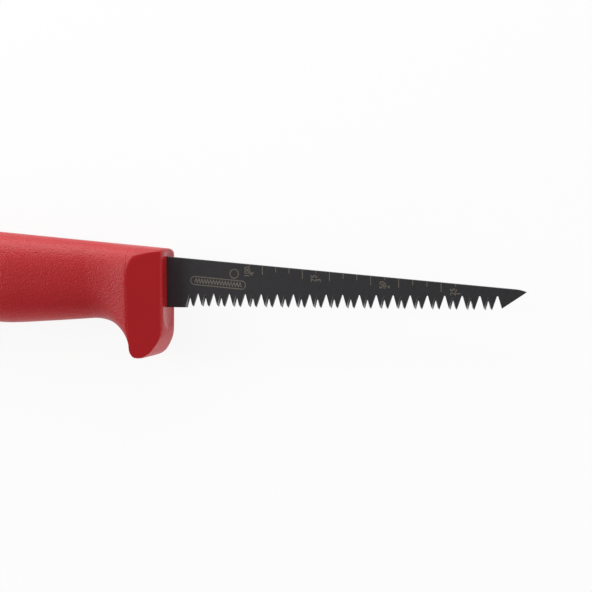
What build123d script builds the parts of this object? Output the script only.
"""Drywall saw: a toothed steel blade whose tang is moulded into a one-piece plastic handle.

Drawing frame: X = 0 at the front face of the guard, + towards the blade point.
Y = 0 on the tooth line, + towards the spine. Z = 0 on the middle plane of the blade.
The finished saw is then moved so that the origin is the middle of its underside as it lies flat.
"""
from build123d import *
from math import cos, radians, sin, tan
import os

# ---- blade (mm, degrees) ----
BLADE_LENGTH = 131.0          # guard face to the point
BLADE_THICKNESS = 1.5
BLADE_HEIGHT = 18.6           # tooth line to spine at the guard face
BLADE_END_HEIGHT = 7.1        # tooth line to spine at the point, before it rounds off
SPINE_CHAMFER = 0.15
HEEL_DROP = 0.3               # the plain heel stands this far below the tooth tips
HEEL_LENGTH = 7.7
HEEL_RADIUS = 0.9

# ---- teeth, ground in pairs ----
PAIR_PITCH = 6.075            # two teeth, about 8 teeth per inch
GULLET_DEPTH = 5.7            # open gullet between two pairs
GULLET_RADIUS = 0.32
FIRST_TIP = 2.03              # tips of a pair, from the open gullet before them
SECOND_TIP = 4.14
TIP_BEVEL = 0.62              # relief on the heel side of each tip
TIP_RISE = 0.75
NOTCH_AT = 2.87               # narrow gullet inside a pair
NOTCH_DEPTH = 3.3
FIRST_GRIND = 1.0             # at the blade's sides the narrow gullet is this much wider on its first tooth
SECOND_GRIND = 0.3            # and this much on its second
GRIND_RISE = 1.7              # and runs up this much further
GRIND_SLOPE = 0.5             # rise of the ground flank at the second tip, for its width
WHEEL_BELOW = 1.5             # the grinding cut starts this far below the tooth line
WHEEL_OVERRUN = 1.2           # and is this many times as deep as half the blade's thickness

# ---- point ----
POINT_DROP = 0.64             # the point lies this far below the line of the spine
POINT_BLEND = 3.6             # the spine rounds off over this length
TOE_SETBACK = 8.4             # lower corner of the sloping front edge, behind the point
TOE_HEIGHT = 0.7

# ---- tang, hidden in the handle ----
TANG_LENGTH = 82.0
TANG_HEIGHT = 14.0
TANG_RISE = 0.3               # middle of the tang above the middle of the blade's root
TANG_SLOPE = 1.0              # the tang rises towards the butt
TANG_CORNER = 3.0
ROOT_DEPTH = 4.0              # full-height root of the blade inside the guard
ANCHOR_HOLE = 6.0
ANCHOR_HOLES_AT = (30.0, 64.0)
ANCHOR_NOTCH = 4.0            # half-round notches in both edges of the tang
ANCHOR_NOTCHES_AT = 47.0

# ---- handle: places are behind the guard face, drops are below the tooth line ----
HANDLE_LENGTH = 115.0
SPINE_COVER = 3.0             # handle above the spine at the guard face
TOP_SLOPE = 5.4               # the top rises towards the butt
TOP_SAG = 6.5                 # and falls away by this much at the very end
SAG_LENGTH = 45.0
FACE_DROP = 12.4              # lower end of the guard face
FACE_HALF_WIDTH = 6.8
CHIN_AT = 3.6                 # the lower front corner of the guard is cut back
CHIN_DROP = 16.9
GUARD_LOW_AT = 8.4
GUARD_DROP = 19.1
RIDGE_AT = 12.7               # ridge where the grip meets the guard
RIDGE_DROP = 17.9
RIDGE_LEAN = 1.5              # the ridge leans forward by this much at its lower end
RIDGE_HALF_WIDTH = 12.3
NECK_AT = 29.0
NECK_DROP = 4.75
NECK_HALF_WIDTH = 10.0
BELLY_AT = 48.0
BELLY_DROP = 6.1
BELLY_HALF_WIDTH = 11.2
SWELL_AT = 66.0
SWELL_DROP = 7.0
SWELL_HALF_WIDTH = 12.3
WAIST_TO_END = 25.0
WAIST_DROP = 5.0
WAIST_HALF_WIDTH = 11.0
BUTT_TO_END = 8.0
BUTT_DROP = 9.8
BUTT_HALF_WIDTH = 12.3
END_INSET = 0.7               # the butt draws in by this much at its end
FACE_EDGE_RADIUS = 2.0
BUTT_EDGE_RADIUS = 4.5
GRIP_ROUNDING = 0.85          # corner radius as a share of the half width
RIDGE_ROUNDING = 0.45
GUARD_CORNER = 3.1
FLARE_ANGLES = (27, 57)       # sections round the finger recess, a quarter ellipse

SAME_HEIGHT = 0.01            # corners nearer than this to a height count as being at it


# ---------------------------------------------------------------- blade
def spine_y(x):
    """Height of the spine above the tooth line."""
    return BLADE_HEIGHT - x * (BLADE_HEIGHT - BLADE_END_HEIGHT) / BLADE_LENGTH


def notch_places():
    """Where the narrow gullets lie along the blade. The heel is the first tooth of the first pair."""
    first = HEEL_LENGTH + NOTCH_AT - FIRST_TIP
    room = BLADE_LENGTH - TOE_SETBACK - (first - NOTCH_AT)
    return [first + pair * PAIR_PITCH for pair in range(int(room / PAIR_PITCH))]


def tooth_corners():
    """Corners of the toothed edge with its open gullets, from the heel to the last gullet."""
    corners = [(HEEL_LENGTH, -HEEL_DROP)]
    for notch in notch_places():
        gullet = notch - NOTCH_AT
        if gullet > HEEL_LENGTH:
            corners.append((gullet, GULLET_DEPTH))
            corners.append((gullet + FIRST_TIP - TIP_BEVEL, TIP_RISE))
            corners.append((gullet + FIRST_TIP, 0))
        corners.append((gullet + SECOND_TIP, 0))
    corners.append((notch_places()[-1] - NOTCH_AT + PAIR_PITCH, GULLET_DEPTH))
    return corners


def blade_outline():
    """Outline of the exposed blade and of its full-height root inside the guard."""
    teeth = tooth_corners()
    toe = (BLADE_LENGTH - TOE_SETBACK, TOE_HEIGHT)
    point = (BLADE_LENGTH, spine_y(BLADE_LENGTH) - POINT_DROP)
    blend = (BLADE_LENGTH - POINT_BLEND, spine_y(BLADE_LENGTH - POINT_BLEND))
    root = (-ROOT_DEPTH, spine_y(-ROOT_DEPTH))
    with BuildSketch() as outline:
        with BuildLine():
            Polyline(root, (-ROOT_DEPTH, -HEEL_DROP), *teeth, toe, point)
            spine = Line(root, blend)
            TangentArc(blend, point, tangent=spine % 1)
        make_face()
        at_gullets = (GULLET_DEPTH - SAME_HEIGHT, GULLET_DEPTH + SAME_HEIGHT)
        fillet(outline.vertices().filter_by_position(Axis.Y, *at_gullets), GULLET_RADIUS)
        heel = outline.vertices().sort_by_distance((HEEL_LENGTH, -HEEL_DROP))[0]
        fillet(heel, HEEL_RADIUS)
    return outline.face()


def notch_face(x, share, z):
    """V-shaped mouth of a narrow gullet at height z in the thickness, with this share of its grind."""
    heel_flank = (NOTCH_AT - FIRST_TIP) / NOTCH_DEPTH
    bevel = TIP_BEVEL / TIP_RISE
    second_tip = x + SECOND_TIP - NOTCH_AT
    first = FIRST_GRIND * share
    second = SECOND_GRIND * share
    points = [
        (x - heel_flank * (NOTCH_DEPTH + WHEEL_BELOW) - first, -WHEEL_BELOW),
        (x, NOTCH_DEPTH + GRIND_RISE * share),
        (second_tip - TIP_BEVEL + second, TIP_RISE + GRIND_SLOPE * second),
        (second_tip + bevel * WHEEL_BELOW + second, -WHEEL_BELOW),
    ]
    return Plane.XY.offset(z) * make_face(Polyline(*points, close=True))


def notch_cutters():
    """Cutters that grind the narrow gullets from both sides, down to an edge at mid thickness."""
    depth = WHEEL_OVERRUN * BLADE_THICKNESS / 2
    cutters = []
    for x in notch_places():
        edge = notch_face(x, 0, 0)
        for side in (-1, 1):
            mouth = notch_face(x, WHEEL_OVERRUN, side * depth)
            cutters.append(loft([edge, mouth], ruled=True))
    return cutters


def tang_y(x):
    """Middle of the tang above the tooth line."""
    return BLADE_HEIGHT / 2 + TANG_RISE - x * tan(radians(TANG_SLOPE))


def tang_outline():
    """Tang with round anchoring holes and edge notches that the moulding grips."""
    middle = -TANG_LENGTH / 2
    with BuildSketch() as outline:
        with Locations(Location((middle, tang_y(middle)), -TANG_SLOPE)):
            Rectangle(TANG_LENGTH, TANG_HEIGHT)
        fillet(outline.vertices().group_by(Axis.X)[0], TANG_CORNER)
        with Locations(*[(-x, tang_y(-x)) for x in ANCHOR_HOLES_AT]):
            Circle(ANCHOR_HOLE / 2, mode=Mode.SUBTRACT)
        for edge in (-TANG_HEIGHT / 2, TANG_HEIGHT / 2):
            with Locations((-ANCHOR_NOTCHES_AT, tang_y(-ANCHOR_NOTCHES_AT) + edge)):
                Circle(ANCHOR_NOTCH / 2, mode=Mode.SUBTRACT)
    return outline.face()


def make_blade():
    """The blade blank with its tang, its ground teeth and its broken spine edges."""
    blank = extrude(blade_outline(), BLADE_THICKNESS / 2, both=True)
    tang = extrude(tang_outline(), BLADE_THICKNESS / 2, both=True)
    blade = (blank + tang) - notch_cutters()
    spine = blade.edges().filter_by(GeomType.LINE).sort_by(SortBy.LENGTH)[-2:]
    return chamfer(spine, SPINE_CHAMFER)


# ---------------------------------------------------------------- handle
def top_y(back):
    """Top of the handle above the tooth line, at a distance behind the guard face."""
    into_sag = max(0.0, back - HANDLE_LENGTH + SAG_LENGTH) / SAG_LENGTH
    return BLADE_HEIGHT + SPINE_COVER + back * tan(radians(TOP_SLOPE)) - TOP_SAG * into_sag ** 3


def section(top_back, bottom_back, drop, half_width, corner):
    """Rounded section of the handle, on the chord from its top line to its bottom line."""
    top = Vector(-top_back, top_y(top_back), 0)
    bottom = Vector(-bottom_back, -drop, 0)
    chord = top - bottom
    plane = Plane(origin=(top + bottom) / 2, x_dir=(0, 0, 1), z_dir=chord.cross(Vector(0, 0, 1)))
    return plane * RectangleRounded(2 * half_width, chord.length, corner)


def grip_section(back, drop, half_width):
    """Upright section of the grip."""
    return section(back, back, drop, half_width, GRIP_ROUNDING * half_width)


def flare_section(angle):
    """Section between the neck and the ridge, where the grip flares out along a quarter ellipse."""
    forward = sin(radians(angle))
    spread = 1 - cos(radians(angle))
    top_back = NECK_AT - (NECK_AT - RIDGE_AT) * forward
    bottom_back = NECK_AT - (NECK_AT - RIDGE_AT + RIDGE_LEAN) * forward
    drop = NECK_DROP + (RIDGE_DROP - NECK_DROP) * spread
    half_width = NECK_HALF_WIDTH + (RIDGE_HALF_WIDTH - NECK_HALF_WIDTH) * spread
    rounding = GRIP_ROUNDING + (RIDGE_ROUNDING - GRIP_ROUNDING) * spread
    return section(top_back, bottom_back, drop, half_width, rounding * half_width)


def guard_section(back, drop):
    """Upright section of the guard, which narrows evenly from its ridge to its front face."""
    half_width = FACE_HALF_WIDTH + (RIDGE_HALF_WIDTH - FACE_HALF_WIDTH) * back / RIDGE_AT
    return section(back, back, drop, half_width, GUARD_CORNER)


def make_handle(blade):
    """Grip and finger guard, filled solid round the tang.

    The two lofts share the ridge's section. Their skins without it are sewn into one solid.
    """
    ridge = flare_section(90)
    grip = loft([
        grip_section(HANDLE_LENGTH, BUTT_DROP - END_INSET, BUTT_HALF_WIDTH - END_INSET),
        grip_section(HANDLE_LENGTH - BUTT_TO_END, BUTT_DROP, BUTT_HALF_WIDTH),
        grip_section(HANDLE_LENGTH - WAIST_TO_END, WAIST_DROP, WAIST_HALF_WIDTH),
        grip_section(SWELL_AT, SWELL_DROP, SWELL_HALF_WIDTH),
        grip_section(BELLY_AT, BELLY_DROP, BELLY_HALF_WIDTH),
        grip_section(NECK_AT, NECK_DROP, NECK_HALF_WIDTH),
        *[flare_section(angle) for angle in FLARE_ANGLES],
        ridge,
    ])
    guard = loft([
        ridge,
        guard_section(GUARD_LOW_AT, GUARD_DROP),
        guard_section(CHIN_AT, CHIN_DROP),
        guard_section(0, FACE_DROP),
    ], ruled=True)
    middle = ridge.center()
    skin = grip.faces().sort_by_distance(middle)[1:] + guard.faces().sort_by_distance(middle)[1:]
    handle = Solid(Shell(skin))
    handle = fillet(handle.faces().sort_by(Axis.X)[-1].edges(), FACE_EDGE_RADIUS)
    handle = fillet(handle.faces().sort_by(Axis.X)[0].edges(), BUTT_EDGE_RADIUS)
    return handle - blade


pieces = {"blade": make_blade()}
pieces["handle"] = make_handle(pieces["blade"])

box = Compound([piece.solid() for piece in pieces.values()]).bounding_box()
to_origin = Location((-box.center().X, -box.center().Y, -box.min.Z))

os.makedirs("parts", exist_ok=True)
for name, piece in pieces.items():
    placed = piece.solid().moved(to_origin)
    placed.label = name
    export_step(placed, f"parts/{name}.step")
print("moved by", to_origin.position, "size", box.size)
